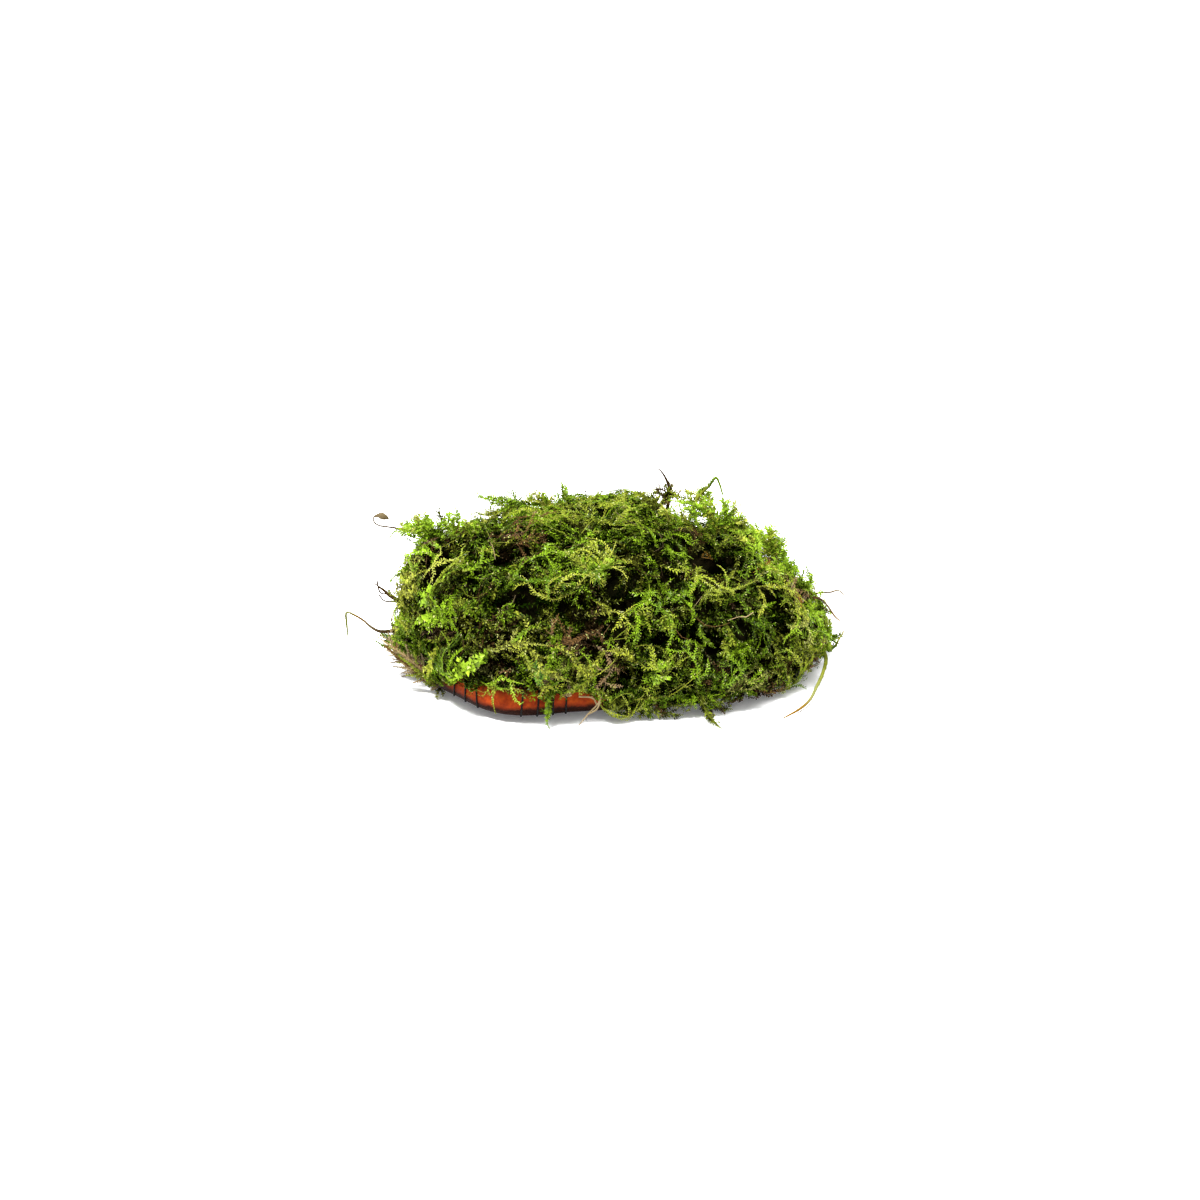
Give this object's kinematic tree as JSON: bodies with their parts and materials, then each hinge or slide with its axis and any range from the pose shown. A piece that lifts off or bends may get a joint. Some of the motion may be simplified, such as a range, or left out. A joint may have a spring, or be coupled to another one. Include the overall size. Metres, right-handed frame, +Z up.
{
  "type": "moss clump",
  "caption": "Mound of feathery aquarium moss bound with dark thread to a flat, round-edged terracotta tablet, with loose stems and rootlets sticking out.",
  "frame": {"origin": "middle of the tablet, on the underside that it stands on", "axes": "+Z up; +X to the right along the longer side, the front with the bare terracotta rim faces -Y"},
  "size_m": [0.126, 0.0944, 0.0432],
  "materials": {
    "terracotta": "unglazed fired clay, matt, with darker and paler blotches",
    "black_thread": "twisted cotton thread, damp",
    "green_moss": "damp moss leaves, from lime green to olive brown, slightly glossy",
    "brown_root": "thin brown stalks and roots, satin"
  },
  "bodies": {
    "root": {"terracotta_tablet": "terracotta", "binding_thread": "black_thread", "moss_clump": "green_moss", "capsule_stalk": "brown_root", "stem_top_left": "green_moss", "stem_top_tuft": "green_moss", "stem_top_knot": "green_moss", "stem_top_loop": "green_moss", "twig_left": "brown_root", "stem_left_edge": "green_moss", "stem_left_hook": "green_moss", "stem_left_low": "green_moss", "root_right": "brown_root", "stem_right_arm": "green_moss", "stem_right_tip": "green_moss", "stem_right_hanging": "green_moss", "stem_front_right": "green_moss", "stem_rim_left": "green_moss", "stem_rim_middle": "green_moss", "root_front": "brown_root"}
  },
  "joints": []
}
